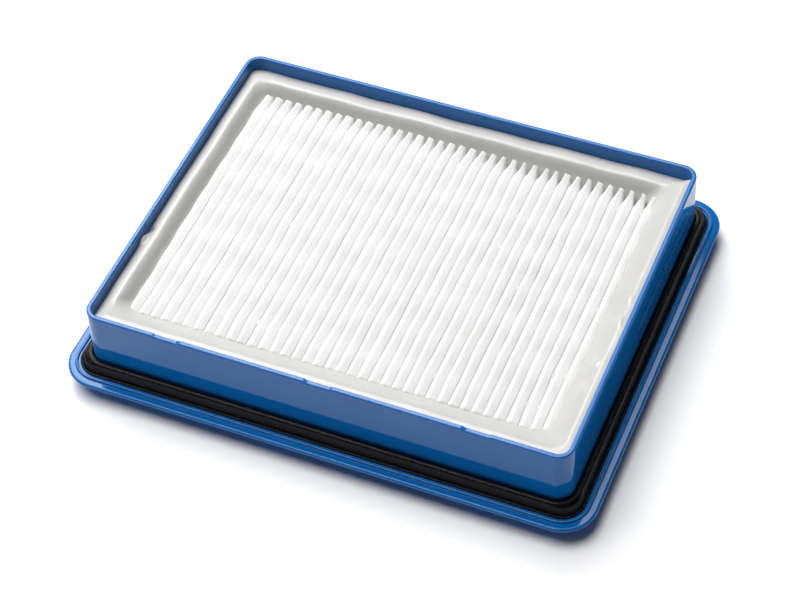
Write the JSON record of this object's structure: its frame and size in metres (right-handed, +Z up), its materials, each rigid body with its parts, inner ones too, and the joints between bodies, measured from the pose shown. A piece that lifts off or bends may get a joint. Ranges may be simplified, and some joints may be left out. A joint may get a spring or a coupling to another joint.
{
  "type": "vacuum cleaner filter cassette",
  "caption": "Rectangular vacuum cleaner filter cassette: white pleated pack potted into a blue flanged plastic frame with a black seal round the flange.",
  "frame": {"origin": "centre of the outline at the foot of the skirt", "axes": "+X along the long side and across the pleats, +Y along the pleats towards the back, +Z up towards the open side with the pleats"},
  "size_m": [0.1614, 0.1304, 0.028],
  "materials": {
    "frame_plastic": "injection moulded, glossy blue",
    "seal_rubber": "black foam rubber with a skin",
    "filter_media": "matt white fibre sheet, folded",
    "potting_compound": "off-white cast compound, glossy",
    "separator_bead": "white hot-melt bead"
  },
  "bodies": {
    "root": {"frame": "frame_plastic", "seal": "seal_rubber", "pleated_media": "filter_media", "potting": "potting_compound", "separator_row_1": "separator_bead", "separator_row_2": "separator_bead", "separator_row_3": "separator_bead", "separator_row_4": "separator_bead", "separator_row_5": "separator_bead", "separator_row_6": "separator_bead", "separator_row_7": "separator_bead"}
  },
  "joints": []
}
